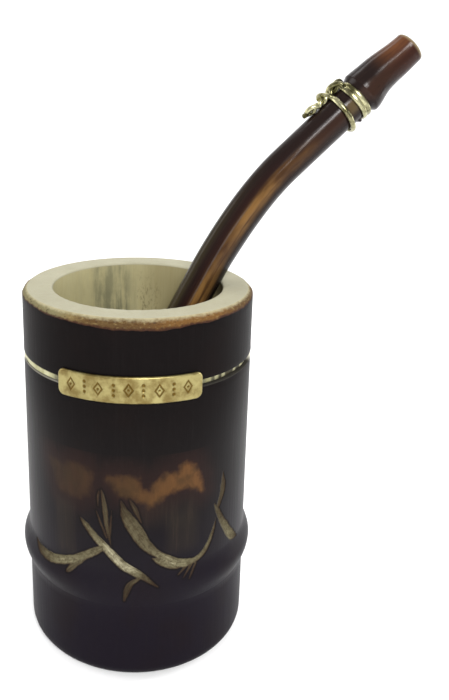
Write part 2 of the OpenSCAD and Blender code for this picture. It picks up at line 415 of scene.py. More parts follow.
def ridge(z):
    """Height of the node's ridge above the plain culm."""
    rise = np.sin(np.pi / 2 * np.clip((z - RIDGE_Z + RIDGE_BELOW) / RIDGE_BELOW, 0, 1))
    fade = (1 + np.cos(np.pi * np.clip((z - RIDGE_Z) / RIDGE_ABOVE, 0, 1))) / 2
    return RIDGE_OUT * np.where(z < RIDGE_Z, rise, fade)


def cup_rows():
    """Rows of (radius, height, finish, place on the chamfer), from the floor over the rim to below."""
    rows = []

    def line(a, b, count, finish, place=lambda t: 0):
        for t in np.linspace(0, 1, count, endpoint=False):
            rows.append((a[0] + (b[0] - a[0]) * t, a[1] + (b[1] - a[1]) * t, finish, place(t)))

    def arc(centre, radius, start, end, count, finish):
        for t in np.radians(np.linspace(start, end, count, endpoint=False)):
            rows.append((centre[0] + radius * math.cos(t), centre[1] + radius * math.sin(t), finish, 0))

    line((CENTRE_R, FLOOR_Z), (BORE_R - FLOOR_ROUND, FLOOR_Z), 6, "inside")
    arc((BORE_R - FLOOR_ROUND, FLOOR_Z + FLOOR_ROUND), FLOOR_ROUND, -90, 0, 6, "inside")
    line((BORE_R, FLOOR_Z + FLOOR_ROUND), (BORE_R, CUP_H - RIM_ROUND), 14, "inside")
    arc((BORE_R + RIM_ROUND, CUP_H - RIM_ROUND), RIM_ROUND, 180, 90, 4, "rim")
    line((BORE_R + RIM_ROUND, CUP_H), (RIM_R - CHAMFER_W, CUP_H), 9, "rim")
    line((RIM_R - CHAMFER_W, CUP_H), (RIM_R, CUP_H), 9, "chamfer", lambda t: t)
    line((RIM_R, CUP_H), (RIM_R, GROOVE_TOP + GROOVE_EASE), 10, "wall", lambda t: 1)
    arc((RIM_R - .2, GROOVE_TOP + GROOVE_LIP), GROOVE_LIP, 0, -90, 3, "wall")
    line((RIM_R - GROOVE_EASE, GROOVE_TOP), (GROOVE_R, GROOVE_TOP), 3, "groove")
    line((GROOVE_R, GROOVE_TOP), (GROOVE_R, GROOVE_LOW), 3, "groove")
    line((GROOVE_R, GROOVE_LOW), (RIM_R - GROOVE_EASE, GROOVE_LOW), 6, "groove")
    arc((RIM_R - .2, GROOVE_LOW - GROOVE_LIP), GROOVE_LIP, 90, 0, 3, "groove")
    line((RIM_R, GROOVE_LOW - GROOVE_EASE), (RIM_R, MARKS_TOP), 8, "wall")
    line((RIM_R, MARKS_TOP), (RIM_R, MARKS_LOW), 156, "wall")
    line((RIM_R, MARKS_LOW), (RIM_R, FOOT_ROUND), 9, "wall")
    arc((culm_r(0) - FOOT_ROUND, FOOT_ROUND), FOOT_ROUND, 0, -84, 9, "foot")
    line((culm_r(0) - FOOT_ROUND, 0), (FOOT_BORE_R + .4, 0), 5, "end")
    line((FOOT_BORE_R, .4), (FOOT_BORE_R, FLOOR_Z - FLOOR_T - 1), 6, "hollow")
    line((FOOT_BORE_R - .7, FLOOR_Z - FLOOR_T), (CENTRE_R, FLOOR_Z - FLOOR_T), 6, "hollow")
    return rows


def chamfer_height(azimuth):
    """Height of the worn chamfer, which is tallest at the front and uneven all round."""
    front = CHAMFER_FRONT * np.exp(-(azimuth / 40) ** 2)
    u, v = (RIM_R * f(np.radians(azimuth)) + 90 for f in (np.cos, np.sin))
    wander = smooth_noise(u, v, 5, 11) + .5 * smooth_noise(u, v, 1.3, 12)
    return CHAMFER_H + front + .28 * wander


def build_cup(materials):
    """The cup, turned from its rows, with the marks cut into its front and what its materials read."""
    fine = np.arange(-MARKS_HALF, MARKS_HALF, .6)
    coarse = np.arange(MARKS_HALF, 360 - MARKS_HALF, 2.25)
    azimuth = np.concatenate([fine, coarse])
    azimuth = np.where(azimuth > 180, azimuth - 360, azimuth)
    rows = cup_rows()
    finish = np.array([row[2] for row in rows])
    cols = len(azimuth)
    r, z, place = (np.repeat(np.array([row[i] for row in rows])[:, None], cols, 1) for i in (0, 1, 3))
    az = np.repeat(azimuth[None, :], len(rows), 0)
    x, y = np.sin(np.radians(az)), -np.cos(np.radians(az))

    def made(kind):
        return (finish == kind)[:, None]

    worn = chamfer_height(azimuth)[None, :]
    z = np.where(made("chamfer"), CUP_H - place * worn, z)
    on_top = made("wall") & (z > GROOVE_TOP + GROOVE_EASE - .02)
    bare = .03 + .17 * ease(-20, -36, az) + window(72, 82, 100, 116, np.abs(az))
    bare = np.minimum(bare, 1) * (made("groove") & (z < GROOVE_LOW + .02))
    wall_low = GROOVE_TOP + GROOVE_EASE
    span = (CUP_H - z) / (CUP_H - wall_low)
    z = np.where(on_top, CUP_H - worn - span * (CUP_H - worn - wall_low), z)
    uneven = .25 + .1 * smooth_noise(az * .61 + 200, place * 3 + 50, .8, 5)
    r = np.where(made("chamfer"), r + uneven * np.sin(np.pi * place), r)

    groove_half = (GROOVE_TOP - GROOVE_LOW) / 2 + GROOVE_EASE
    on_wall = made("wall") & (np.abs(z - (GROOVE_TOP + GROOVE_LOW) / 2) > groove_half - .01)
    swell = .06 * smooth_noise(x * RIM_R + 100, y * RIM_R + z * .3 + 100, 14, 21)
    front = 1 - RIDGE_WORN * np.exp(-(az / RIDGE_WORN_HALF) ** 2)
    body = culm_r(z) + ridge(z) * front + swell
    inside, depth, pale, along, across = (a.reshape(az.shape) for a in gouged(az.ravel(), z.ravel()))
    marked = on_wall & (z > MARKS_LOW - 1) & (z < MARKS_TOP) & (np.abs(az) < MARKS_HALF)
    inside = np.where(marked, inside, -4)
    r = np.where(on_wall, body - np.where(marked, depth, 0), r)
    r = np.where(made("wall") & ~on_wall, r + culm_r(z) - RIM_R, r)
    r = np.where(made("foot"), r + culm_r(z) - culm_r(0), r)
    sawn = made("rim") & (z > CUP_H - .05)
    z = z + np.where(sawn, .05 * smooth_noise(x * r + 60, y * r + 60, 1.1, 31), 0)
    in_bore = np.where(r < BORE_R + .01, 1, 0)

    verts = np.stack([x * r, y * r, z], axis=-1).reshape(-1, 3)
    faces = grid_faces(len(rows), cols).tolist()
    floor_centre, under_centre = len(verts), len(verts) + 1
    verts = np.vstack([verts, [[0, 0, FLOOR_Z]], [[0, 0, FLOOR_Z - FLOOR_T]]])
    last = (len(rows) - 1) * cols
    for j in range(cols):
        k = (j + 1) % cols
        faces += [[floor_centre, k, j], [under_centre, last + j, last + k]]
    slots = {"wall": 0, "groove": 0, "foot": 0, "chamfer": 1, "rim": 2, "inside": 3, "end": 2, "hollow": 4}
    row_slots = [slots[f] for f in finish[:-1]]
    face_slots = np.concatenate([np.repeat(row_slots, cols), np.tile([3, 4], cols)])
    obj = make_piece("cup_body", verts, faces, materials, face_slots, 42)

    patches = [signed_distance(az, z, outline) for outline in (MIDDLE_PATCH, LEFT_PATCH)]
    scorch = np.where(marked, np.maximum(*patches), -30)
    behind = az % 360
    back_patch = 6 - np.hypot((behind - 155) * .3, (z - 63 + (behind - 155) * .12) * .9)
    back_patch = np.maximum(back_patch, 4 - np.hypot((behind - 236) * .4, (z - 70) * 1.1))
    scorch = np.maximum(np.where(on_wall, back_patch, -30), scorch)
    warm = np.where(np.abs(az) < 90, ease(-50, 30, az), .25)
    streaks = (window(-45, -40, -34, -29, az) * window(38, 43, 56, 61, z)
               + window(12, 17, 27, 33, az) * window(41, 46, 52, 60, z)
               + .5 * window(-5, 5, 24, 34, az) * window(50, 56, 58, 64, z))
    stain = (window(-176, -170, -148, -142, az) * (.55 + .45 * ease(112, 96, z))
             + .35 * ease(-100, -140, az) * (az < 0)) * in_bore
    specks = ease(160, 168, az) * in_bore * ease(114, 104, z)
    # Painted shadow: dark brown on the inner wall where the straw leans on the rim, a scorch mark with the
    # straw's shadow painted over it.
    scorch_and_painted_shadow = window(58, 72, 104, 122, az) * ease(92, 106, z) * in_bore
    hue = .5 + .5 * ease(-8, 26, az) - .5 * ease(-20, -44, az) - .5 * ease(32, 62, az)
    hue = np.where(np.abs(az) > 90, .55 + .25 * np.cos(np.radians(az * 3)), hue)
    values = {"cut": inside, "pale": pale, "scorch": scorch, "warm": warm, "streaks": streaks,
              "stain": stain, "specks": specks, "scorch_and_painted_shadow": scorch_and_painted_shadow, "hue": hue, "place": place, "bare": bare}
    for name, value in values.items():
        set_attribute(obj, name, np.append(np.broadcast_to(value, az.shape).ravel(), [0, 0]))
    stroke = np.stack([along, across, np.zeros(az.shape)], axis=-1).reshape(-1, 3)
    set_attribute(obj, "stroke", np.vstack([stroke, np.zeros((2, 3))]))
    return obj


# ---- straw
def bent(at, radius, heading, angle):
    """Where a bend of that radius ends, turning down by angle, all in radians and millimetres."""
    return at + radius * np.array([math.sin(heading) - math.sin(heading - angle),
                                   math.cos(heading - angle) - math.cos(heading)])


def straw_route():
    """The straight and bent stretches of the straw: (start, heading, length, bend radius or None)."""
    rim_r, rim_z = BORE_R + RIM_ROUND, CUP_H - RIM_ROUND

    def miss(a):
        across = (rim_r + BORE_R - SEAT_GAP - STRAW_R * math.sin(a)) * math.sin(a)
        up = (rim_z - FLOOR_Z - SEAT_GAP - STRAW_R * math.cos(a)) * math.cos(a)
        return across - up - STRAW_R - SEAT_GAP - RIM_ROUND

    low, high = math.radians(30), math.radians(89)
    for _ in range(40):
        middle = (low + high) / 2
        low, high = (low, middle) if miss(middle) > 0 else (middle, high)
    lean = low
    foot = np.array([-BORE_R + SEAT_GAP + STRAW_R * math.sin(lean),
                     FLOOR_Z + SEAT_GAP + STRAW_R * math.cos(lean)])
    stem = (CUP_H - foot[1]) / math.sin(lean) + PAST_RIM
    turn_1, turn_2 = math.radians(BEND_1_ANGLE), math.radians(BEND_2_ANGLE)
    bend_1 = foot + stem * np.array([math.cos(lean), math.sin(lean)])
    bend_2 = bent(bend_1, BEND_1_R, lean, turn_1)
    mouth = bent(bend_2, BEND_2_R, lean - turn_1, turn_2)
    return [(foot, lean, stem, None), (bend_1, lean, BEND_1_R * turn_1, BEND_1_R),
            (bend_2, lean - turn_1, BEND_2_R * turn_2, BEND_2_R),
            (mouth, lean - turn_1 - turn_2, MOUTH_LEN, None)]


ROUTE = straw_route()
STRAW_LEN = sum(length for _, _, length, _ in ROUTE)


def along_straw(distance):
    """Point and heading on the straw's centre line, that far from its foot."""
    for start, heading, length, radius in ROUTE[:-1]:
        if distance <= length:
            break
        distance -= length
    else:
        start, heading, length, radius = ROUTE[-1]
    if radius is None:
        return start + distance * np.array([math.cos(heading), math.sin(heading)]), heading
    return bent(start, radius, heading, distance / radius), heading - distance / radius


def turn_out(u, y, z):
    """From the straw's own plane, in which it leans along u, to the part's frame."""
    c, s = math.cos(math.radians(STRAW_TURN)), math.sin(math.radians(STRAW_TURN))
    return np.stack([u * c - y * s, u * s + y * c, z], axis=-1)


def by_mouth(points):
    """Points of (distance from the tip, offset up and left, offset to -Y), in the part's frame."""
    points = np.asarray(points, dtype=float)
    tip, heading = along_straw(STRAW_LEN)
    back, up = points[:, 0], points[:, 1]
    u = tip[0] - back * math.cos(heading) - up * math.sin(heading)
    z = tip[1] - back * math.sin(heading) + up * math.cos(heading)
    return turn_out(u, -points[:, 2], z)


def cane_r(drop, turn):
    """Radius of the cane, drop from its tip and turned from its upper side, negative towards -Y."""
    taper = STRAW_R + (TIP_R - STRAW_R) * (1 - ease(0, 14, drop))
    under = .5 - .5 * np.cos(np.radians(turn - 15))
    above = (1 + np.cos(np.pi * np.clip((JOINT_DROP - drop) / JOINT_ABOVE, 0, 1))) / 2
    below = (1 + np.cos(np.pi * np.clip((drop - JOINT_DROP) / JOINT_BELOW, 0, 1))) / 2
    crest = JOINT_OUT * (.28 + .72 * under) * np.where(drop < JOINT_DROP, above ** 1.5, below)
    collar = .12 * np.exp(-((drop - JOINT_DROP - .2) / .4) ** 2) * (1 - under)
    neck = -.3 * under * np.exp(-((drop - 10.5) / 4) ** 2)
    groove = -GROOVE_DEPTH * window(-76, -66, -50, -8, turn) * ease(40, 74, drop)
    lines = sum(np.exp(-((turn - at) / 2.2) ** 2) for at in (-44, -28, -10, 6))
    lines = -.08 * lines * ease(30, 60, drop)
    scar = SCAR_OUT * np.exp(-((drop - 25.6) / .7) ** 2 - ((turn + 160) / 9) ** 2)
    shoulder = SHOULDER_OUT * window(1, 15, JOINT_DROP - 1, JOINT_DROP + 7, drop) * (1 - under)
    wander = .05 * smooth_noise(drop + 300, 20 * np.cos(np.radians(turn)) + 100, 9, 41)
    return taper + shoulder + crest + collar + neck + groove + lines + scar + wander


def build_straw(materials):
    """The cane straw with its hole, swept along its route."""
    cols = 112
    turn = np.linspace(-180, 180, cols, endpoint=False) + 70
    turn = np.where(turn > 180, turn - 360, turn)
    shank = np.concatenate([np.arange(high, low, -step) for high, low, step in
                            ((STRAW_LEN - .4, 76, 1.2), (76, 32, .8), (32, 12, .22), (12, 1, .7))])
    rows = [(STRAW_LEN, STRAW_HOLE, "end"), (STRAW_LEN, STRAW_R - .4, "end")]
    rows += [(d, None, "cane") for d in shank]
    rows += [(TIP_EDGE * (1 - math.sin(t)), TIP_R - TIP_EDGE * (1 - math.cos(t)), "cane")
             for t in np.linspace(0, 1.3, 7)]
    rows += [(0, TIP_R - 1.1, "end"), (0, STRAW_HOLE + .3, "end"), (.3, STRAW_HOLE, "end")]
    rows += [(d, STRAW_HOLE, "end") for d in np.arange(4, STRAW_LEN - 2, 6)]
    drop = np.array([row[0] for row in rows])
    r = np.stack([cane_r(row[0], turn) if row[1] is None else np.full(cols, row[1]) for row in rows])
    places = [along_straw(STRAW_LEN - d) for d in drop]
    centre = np.array([p for p, _ in places])
    heading = np.array([h for _, h in places])[:, None]
    up, side = r * np.cos(np.radians(turn)), r * np.sin(np.radians(turn))
    verts = turn_out(centre[:, 0:1] - up * np.sin(heading), side, centre[:, 1:2] + up * np.cos(heading))
    faces = loop_faces(len(rows), cols)
    slots = [0 if row[2] == "cane" else 1 for row in rows]
    face_slots = np.append(np.repeat([max(a, b) for a, b in zip(slots, slots[1:])], cols), np.full(cols, 1))
    obj = make_piece("straw_cane", verts.reshape(-1, 3), faces, materials, face_slots, 50)
    obj.data.flip_normals()
    t = np.repeat(turn[None, :], len(rows), 0)
    d = np.repeat(drop[:, None], cols, 1)
    # Painted light: the front of the cane that faces the lamps, wider on its right near the rim; the sides
    # outside it get painted shade.
    near_rim = ease(80, 115, d)
    painted_lit_front = window(-120 - 20 * near_rim, -92 - 14 * near_rim, -72, -58, t)
    back_side = window(-40, 10, 90, 160, t)
    channel = window(-78, -68, -56, -30, t) * ease(36, 70, d)
    set_attribute(obj, "lay", np.stack([up, side, d], axis=-1).reshape(-1, 3))
    for name, value in {"drop": d, "painted_lit_front": painted_lit_front, "back_side": back_side, "channel": channel,
                        "upper": .5 + .5 * np.cos(np.radians(t))}.items():
        set_attribute(obj, name, value.ravel())
    return obj


# ---- wire
def ring(drop, radius, start, end, slant=0.0, loose=0.0, shift=0.0, count=60):
    """A wire loop round the cane; loose makes it stand off on the lower side, shift moves it along."""
    t = np.radians(np.linspace(start, end, count))
    r = radius + loose * (1 - np.cos(t)) / 2
    share = np.linspace(0, 1, count)
    return np.stack([drop + slant * np.cos(t) + shift * share, r * np.cos(t), r * np.sin(t)], axis=-1)


WIRE_GAUGE = WIRE_D * .67
TWIST_PITCH = 4.4
# The loops are pressed flat against the cane: distances from its middle before and after.
PRESSED_FROM = (0, STRAW_R + .15, STRAW_R + .15 + 2 * WIRE_GAUGE, STRAW_R + 8)
PRESSED_TO = (0, STRAW_R + .08, STRAW_R + .95, STRAW_R + 7.3)


def twist(start, end, height, phase, count=44):
    """Points of one strand of the twisted tail, which lies along the cane."""
    share = np.linspace(0, 1, count)
    drop = start + (end - start) * share
    a = phase + 2 * np.pi * (drop - 24) / TWIST_PITCH
    out = .7 + .1 * np.sin(drop * 1.7 + phase)
    sway = .14 * np.sin(share * 9)
    return np.stack([drop, height + sway + out * np.cos(a), .95 * out * np.sin(a)], axis=-1)


def build_wire(material):
    """The brass wire under the joint: a double loop, a slanting loop and a twisted tail."""
    loop_r = STRAW_R + .15 + WIRE_GAUGE
    strand = WIRE_GAUGE - .12
    tail = STRAW_R + 2 * WIRE_GAUGE - .1
    first = np.vstack([
        twist(37.2, 25.4, tail, 0),
        [[24.0, tail + .5, .9]],
        ring(LOOP_2_DROP + strand, loop_r, 18, 342),
        ring(LOOP_2_DROP + strand, loop_r, 343, 377, shift=-2 * strand, count=6)[1:-1],
        ring(LOOP_2_DROP - strand, loop_r, 378, 700),
        [[22.6, tail + .9, -1.1], [24.2, tail + 1.3, -.4]],
        twist(25.4, 32.2, tail, np.pi, 24),
        [[33.4, tail + .9, .9], [35.0, tail + 1.3, .5], [36.0, tail + .9, -.2],
         [35.6, tail + .5, -.9]]])
    second = np.vstack([
        [[30.8, tail + 1.5, .2], [30.2, tail + 1.9, -.6], [29.2, tail + 1.4, -1.0]],
        [[28.2, tail + .3, 1.1]],
        ring(LOOP_1_DROP, loop_r, 16, 344, slant=-.55, loose=.55),
        [[27.0, tail + 1.0, -1.0], [25.8, tail + 1.6, -.3], [24.6, tail + 1.5, .5],
         [23.6, tail + .9, 1.2], [23.3, tail - .1, 1.9]]])
    verts, faces = join_parts([tube(spline(line, 3), WIRE_GAUGE, 14) for line in (first, second)])
    out = np.hypot(verts[:, 1], verts[:, 2])
    pressed = np.interp(out, PRESSED_FROM, PRESSED_TO) / out
    verts = verts * np.stack([np.ones(len(verts)), pressed, pressed], axis=-1)
    return make_piece("wire_binding", by_mouth(verts), faces, [material], None, 60)


# ---- band and plate
BAND_T = 0.55
BAND_PROUD = 0.36
CRUMPLE_OUT = 0.3


def build_band(material):
    """A thin hand-bent strip in the groove, crumpled a little on its right side."""
    cols = 300
    a = np.linspace(-180, 180, cols, endpoint=False)
    x, y = np.sin(np.radians(a)), -np.cos(np.radians(a))
    low, high = band_low[2] + .04, band_high[2] - .04
    inner = (band_high[0] - band_low[0]) / 2 - .6
    outer = inner + BAND_T
    crumple = window(20, 45, 120, 165, a)
    wave = .02 * smooth_noise(x * 40 + 90, y * 40 + 90, 6, 51)
    dents = .12 * crumple * smooth_noise(a + 400, a * 0, 2.4, 52)
    lift = .10 * smooth_noise(x * 40 + 90, y * 40 + 90, 9, 53) * (1 - .4 * crumple)
    profile = [(inner + .1, low), (outer - .15, low), (outer, low + .15), (outer + .02, (low + high) / 2),
               (outer, high - .15), (outer - .15, high), (inner + .1, high)]
    tilt = np.array([-1, -1, -.7, 0, .7, 1, 1])
    shift = (band_high[0] + band_low[0]) / 2
    verts = []
    for (r, z), side in zip(profile, tilt):
        radius = r + BAND_PROUD + CRUMPLE_OUT * crumple + wave + dents * side
        verts.append(np.stack([x * radius + shift, y * radius, z + lift * .6 + 0 * x], axis=-1))
    obj = make_piece("band_strip", np.vstack(verts), loop_faces(len(profile), cols), [material], None, 35)
    # Painted reflection: dark blotches on the crumpled side where the crinkles mirror dark surroundings;
    # painted shadow where the strip runs behind the plate's left end.
    painted_shadow_and_reflection = crumple * ease(-.15, .12, smooth_noise(a + 400, a * 0, 2.3, 54))
    painted_shadow_and_reflection = np.maximum(painted_shadow_and_reflection, .8 * window(-44, -40, -37, -35, a))
    set_attribute(obj, "painted_shadow_and_reflection", np.tile(painted_shadow_and_reflection, len(profile)))
    return obj


PLATE_W = 40.0
PLATE_H = 7.9
PLATE_T = 0.9
PLATE_CORNER = 2.0
PLATE_TURN = -4.0
PLATE_OUT = 36.13
PLATE_BEVEL = 0.42
MARK_DEPTH = 0.17
MARK_COUNT = 9
MARK_PITCH = 4.15
LOZENGE_SIZE = (3.1, 4.5)
DOT_PITCH = 1.5


def lozenge(u, v, width, height):
    """Distance inside a lozenge round the origin."""
    slope = height / width
    return (height / 2 - np.abs(v) - slope * np.abs(u)) / math.hypot(1, slope)


def punched(u, v):
    """Depth of the row of small punch marks on the plate."""
    depth = np.zeros(u.shape)
    for number in range(MARK_COUNT):
        cu = (number - (MARK_COUNT - 1) / 2) * MARK_PITCH + .12 * math.sin(number * 2.3)
        cv = .1 + .14 * math.sin(number * 1.7 + .5)
        du, dv = u - cu, v - cv
        if number % 2 == 0:
            edge = lozenge(du, dv, *LOZENGE_SIZE)
            line = 1 - ease(.12, .34, np.abs(edge - .3))
            dot = 1 - ease(.22, .5, np.hypot(du, dv))
            mark = np.maximum(line, dot)
        else:
            dots = [1 - ease(.34, .64, np.hypot(du, dv - DOT_PITCH * place)) for place in (-1, 0, 1)]
            mark = np.maximum.reduce(dots)
        depth = np.maximum(depth, mark)
    return depth


def build_plate(material):
    """A curved brass plate with rounded corners, bevelled edges and punched ornament."""
    middle_r = PLATE_OUT - PLATE_T / 2
    half_w = math.asin(PLATE_W / 2 / middle_r) * middle_r
    half_h = PLATE_H / 2
    cols, rows = 380, 58
    t = np.linspace(-1, 1, cols)
    u = half_w * (.93 * t + .07 * np.sin(np.pi / 2 * t) ** 3)
    u[0], u[-1] = -half_w, half_w
    past = np.clip(np.abs(u) - (half_w - PLATE_CORNER), 0, PLATE_CORNER)
    height = half_h - PLATE_CORNER + np.sqrt(PLATE_CORNER ** 2 - past ** 2)
    s = np.linspace(-1, 1, rows)
    s = .8 * s + .2 * np.sin(np.pi / 2 * s)
    U = np.repeat(u[None, :], rows, 0)
    V = s[:, None] * height[None, :]
    V = V * (1 + .012 * np.sin(U * .21 + 1))
    box_u, box_v = np.abs(U) - (half_w - PLATE_CORNER), np.abs(V) - (half_h - PLATE_CORNER)
    past_corner = np.hypot(np.maximum(box_u, 0), np.maximum(box_v, 0))
    past_corner = past_corner + np.minimum(np.maximum(box_u, box_v), 0)
    bevel = PLATE_BEVEL * (1 - np.clip((PLATE_CORNER - past_corner) / .5, 0, 1)) ** 2
    marks = punched(U, V)
    dents = .035 * smooth_noise(U + 100, V + 100, 3.5, 61) + .02 * smooth_noise(U + 100, V + 100, 1.2, 62)
    front = PLATE_OUT - bevel - MARK_DEPTH * marks + dents - .11
    angle = U / middle_r + math.radians(PLATE_TURN)
    mid_z = float(plate_low[2] + plate_high[2]) / 2
    back = np.full(U.shape, PLATE_OUT - PLATE_T + .02)

    def shell(radius):
        points = np.stack([radius * np.sin(angle), -radius * np.cos(angle), V + mid_z], axis=-1)
        return points.reshape(-1, 3)

    verts = np.vstack([shell(front), shell(back)])
    n = rows * cols
    faces = grid_faces(rows, cols, wrap=False).tolist()
    faces += [[d + n, c + n, b + n, a + n] for a, b, c, d in grid_faces(rows, cols, wrap=False)]
    for j in range(cols - 1):
        faces.append([j + 1, j, j + n, j + 1 + n])
        top = (rows - 1) * cols + j
        faces.append([top, top + 1, top + 1 + n, top + n])
    for i in range(rows - 1):
        left, right = i * cols, i * cols + cols - 1
        faces.append([left, left + cols, left + cols + n, left + n])
        faces.append([right + cols, right, right + n, right + cols + n])
    obj = make_piece("plate_brass", verts, faces, [material], None, 50)
    set_attribute(obj, "mark", np.append(marks.ravel(), np.zeros(n)))
    return obj


# ---- materials
def lacquer_material():
    """Near-black lacquer over scorched bamboo, with brown patches and pale gouges on the front."""
    s = Shader("scorched_lacquer")
    place = s.place()
    long_grain = s.grain((1.4, 1.4, .045), 4, .6)
    fine_grain = s.grain((5, 5, .2), 3)
    cloud = s.grain((.06, .06, .05), 2)
    speckle = s.noise(place, 2.4, 3, .65)
    height = s.axis(place, "Z")
    low_part = s.between(height, 70, 25)

    body = s.mix(low_part, rgb(17, 14, 14), rgb(22, 18, 25))
    body = s.tint(body, rgb(24, 17, 15), s.between(cloud, .45, .75), .35)
    body = s.tint(body, rgb(27, 24, 24), s.between(long_grain, .5, .75), .22)

    scorch = s.attribute("scorch")
    ragged = s.add(scorch, s.mul(s.grain((.42, .42, .34), 4, .6), 4.0))
    ragged = s.math("SUBTRACT", ragged, 2.0)
    warm = s.attribute("warm")
    cloud_patch = s.grain((.3, .3, .22), 3, .5)
    halo = s.mul(s.between(ragged, -8, 0), .6)
    body = s.mix(halo, body, rgb(38, 24, 21))
    streaks = s.attribute("streaks")
    streak_lines = s.mul(streaks, s.between(s.grain((.75, .75, .05), 4, .65), .45, .75))
    body = s.tint(body, rgb(54, 43, 34), streak_lines, .6)
    body = s.tint(body, rgb(40, 34, 28), streaks, .4)
    patch_tone = s.add(s.mul(warm, .62), s.mul(s.grain((.35, .35, .12), 4, .6), .42))
    patch = s.ramp(patch_tone, (.1, rgb(34, 25, 19)), (.35, rgb(49, 34, 23)), (.65, rgb(66, 46, 27)),
                   (.95, rgb(94, 63, 34)))
    patch = s.tint(patch, rgb(44, 34, 22), s.between(cloud_patch, .56, .34), .45)
    body = s.mix(s.between(ragged, -1.1, 1.7), body, patch)

    cut = s.add(s.attribute("cut"), s.mul(speckle, .16))
    cut = s.math("SUBTRACT", cut, .08)
    stroke = s.place((.22, 1.9, 1), s.attribute("stroke", "Vector"))
    torn = s.noise(stroke, 1.0, 4, .65, .3)
    pale = s.attribute("pale")
    wood = s.ramp(s.add(s.mul(pale, .66), s.mul(torn, .54)),
                  (.2, rgb(32, 25, 20)), (.4, rgb(50, 42, 32)), (.62, rgb(78, 71, 53)),
                  (.82, rgb(105, 99, 76)), (1, rgb(154, 148, 122)))
    char = s.between(s.grain((.8, .8, .8), 5, .7), .44, .64)
    wood = s.tint(wood, rgb(54, 45, 31), char, .66)
    wood = s.tint(wood, rgb(52, 38, 28), s.between(cut, .42, .02), .8)
    # Painted shade: a dark line just outside the edge of each gouge.
    painted_shade_line = s.mul(s.between(cut, -.8, -.1), .6)
    body = s.mix(painted_shade_line, body, rgb(13, 10, 9))
    in_cut = s.between(cut, -.1, .2)
    colour = s.mix(in_cut, body, wood)

    rough = s.mix(in_cut, s.line(long_grain, .16, .32), .72, "FLOAT")
    colour = s.mix(s.attribute("bare"), colour, rgb(232, 227, 208))
    polish = s.mul(s.between(height, 96, 66), s.between(height, 14, 44))
    polish = s.line(polish, .038, .027)
    relief = s.add(s.mul(long_grain, .35), s.mul(fine_grain, .15))
    relief = s.add(relief, s.mul(in_cut, s.mul(torn, 1.6)))
    return s.done(colour, rough, polish, relief, .12, .8)


def chamfer_material():
    """The worn, sanded edge where the culm's skin is cut through: pale, then brown, then orange-brown."""
    s = Shader("worn_chamfer")
    place = s.attribute("place")
    hue = s.attribute("hue")
    torn = s.grain((.32, .32, 1.1), 5, .65, .4)
    fibre = s.grain((.9, .9, 2.4), 4, .65, .3)
    tone = s.ramp(s.add(hue, s.mul(torn, .3)),
                  (.12, rgb(108, 102, 72)), (.4, rgb(112, 95, 60)), (.66, rgb(80, 59, 32)),
                  (.9, rgb(88, 61, 30)), (1, rgb(100, 70, 34)))
    tone = s.tint(tone, rgb(140, 124, 82), s.between(fibre, .54, .74), .7)
    tone = s.tint(tone, rgb(52, 35, 22), s.between(fibre, .46, .3), .75)
    lower = s.add(place, s.mul(s.grain((.7, .7, .9), 5, .65), .6))
    lower = s.math("SUBTRACT", lower, .3)
    colour = s.mix(s.between(lower, .62, .95), tone, rgb(54, 32, 21))
    colour = s.mix(s.between(lower, .92, 1.15), colour, rgb(22, 16, 14))
    colour = s.mix(s.between(lower, .42, -.12), colour, rgb(164, 156, 124))
    knot = s.cells(s.place((.22, .22, .3)), 1.0)
    colour = s.tint(colour, rgb(60, 42, 26), s.between(knot, .16, .06), .8)
    return s.done(colour, s.line(torn, .3, .5), .1, s.add(torn, fibre), .16, .8)


def end_grain_material():
    """Bare bamboo cut across: cream with the small dots of its fibres."""
    s = Shader("bamboo_end_grain")
    where = s.place((1, 1, .25))
    dots = s.cells(where, 1.5)
    cloud = s.grain((.16, .16, .16), 3)
    fine = s.noise(where, 3.0, 3, .6)
    base = s.mix(cloud, rgb(150, 146, 123), rgb(166, 162, 139))
    base = s.tint(base, rgb(150, 138, 100), s.between(dots, .32, .12), .3)
    base = s.tint(base, rgb(160, 151, 118), s.between(fine, .6, .8), .5)
    return s.done(base, s.line(fine, .2, .55), .25, s.add(dots, fine), .08, .7)


def inside_material():
    """The drinking hollow: bare bamboo with upright grey-green stains, specks, a scorched place with the
    straw's shadow painted on it, and painted shade deep down.
    """
    s = Shader("bamboo_inside")
    upright = s.grain((.7, .7, .04), 4, .6)
    fibres = s.grain((3.2, 3.2, .12), 3)
    blotch = s.grain((.25, .25, .12), 4, .65)
    flecks = s.grain((1.1, 1.1, .5), 4, .7)
    base = s.mix(upright, rgb(154, 144, 102), rgb(174, 168, 131))
    base = s.tint(base, rgb(132, 124, 86), s.between(fibres, .5, .7), .15)
    stain = s.mul(s.attribute("stain"), s.between(s.add(upright, blotch), .6, 1.3))
    base = s.tint(base, rgb(94, 93, 70), stain, .75)
    speck = s.mul(s.attribute("specks"), s.between(flecks, .48, .68))
    base = s.tint(base, rgb(98, 90, 64), speck, .7)
    # The scorched place beside the straw, with the straw's shadow painted on it.
    base = s.tint(base, rgb(52, 38, 28), s.attribute("scorch_and_painted_shadow"), .85)
    # Darker and greener lower down: mate stain, and painted shade deep in the hollow.
    mate_stain_and_shade = s.between(s.axis(s.place(), "Z"), 90, 36)
    base = s.tint(base, rgb(128, 116, 70), mate_stain_and_shade, .6)
    across = s.axis(s.place(), "X")
    base = s.tint(base, rgb(104, 92, 60), s.between(across, -6, 10), .5)
    return s.done(base, s.line(blotch, .25, .45), .3, s.add(fibres, upright), .1, .6)


def hollow_material():
    """The open end of the culm underneath: raw, dusty and browner."""
    s = Shader("bamboo_hollow")
    upright = s.grain((.8, .8, .06), 4, .6)
    mottle = s.grain((.3, .3, .3), 4, .6)
    base = s.mix(upright, rgb(150, 126, 84), rgb(186, 166, 122))
    base = s.tint(base, rgb(110, 86, 54), s.between(mottle, .5, .7), .5)
    return s.done(base, s.line(mottle, .2, .65), .2, s.add(upright, mottle), .2, .7)


